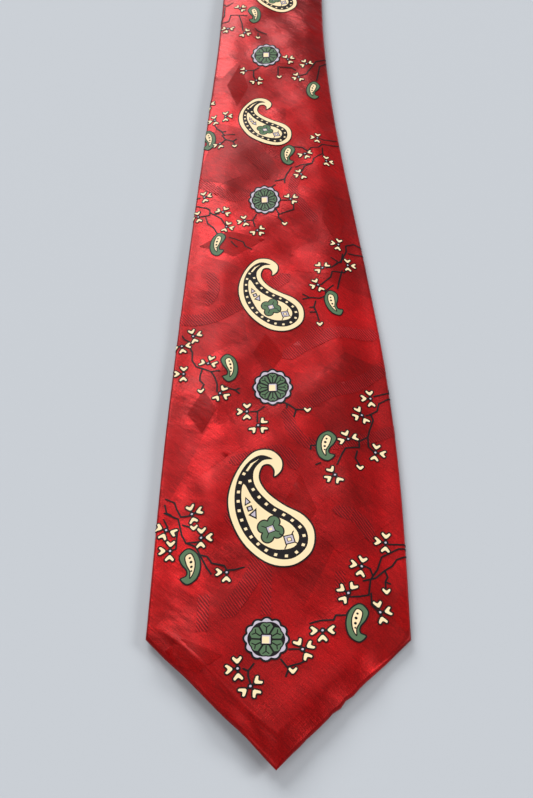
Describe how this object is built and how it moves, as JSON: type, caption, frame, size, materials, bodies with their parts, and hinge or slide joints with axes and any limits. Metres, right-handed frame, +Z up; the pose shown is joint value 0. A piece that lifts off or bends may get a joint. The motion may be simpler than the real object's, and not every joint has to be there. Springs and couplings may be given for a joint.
{
  "type": "necktie",
  "caption": "Folded necktie in red printed jacquard satin with paisley motifs, interlining, tipping, keeper loop and blank label.",
  "frame": {"origin": "bottom centre of the folded tie, on the surface that it lies on", "axes": "+Y from the blade's tip to the neck fold, +X across the tie to the wearer's left as the blade is seen, +Z up"},
  "size_m": [0.102, 0.7034, 0.0068],
  "materials": {
    "satin": "printed jacquard satin",
    "canvas": "brushed wool blend",
    "tipping": "plain satin lining",
    "label": "woven damask, blank",
    "label_thread": "sewing thread",
    "thread": "silk sewing thread"
  },
  "bodies": {
    "tail": {"tail_shell": "satin", "tail_neck_shell": "satin", "rear_piecing_seam": "satin", "tail_interlining": "canvas", "tail_tipping": "tipping", "tail_tip_stitches": "thread", "tail_bar_tack": "thread", "tail_slip_stitch": "thread", "neck_bend_shell": "satin", "neck_bend_interlining": "canvas"},
    "front_blade": {"front_shell": "satin", "front_neck_shell": "satin", "front_piecing_seam": "satin", "front_interlining": "canvas", "front_tipping": "tipping", "front_tip_stitches": "thread", "front_bar_tack": "thread", "front_slip_stitch": "thread", "keeper_loop": "satin", "keeper_tacks": "thread", "maker_label": "label", "label_stitches": "label_thread"}
  },
  "joints": [
    {"name": "neck_fold", "type": "hinge", "parent": "tail", "child": "front_blade", "pos_m": [0, 0.3483, 0.0034], "axis": [-1, 0, 0], "range_deg": [0, 180], "deforming": ["neck_bend_shell", "neck_bend_interlining"]}
  ]
}
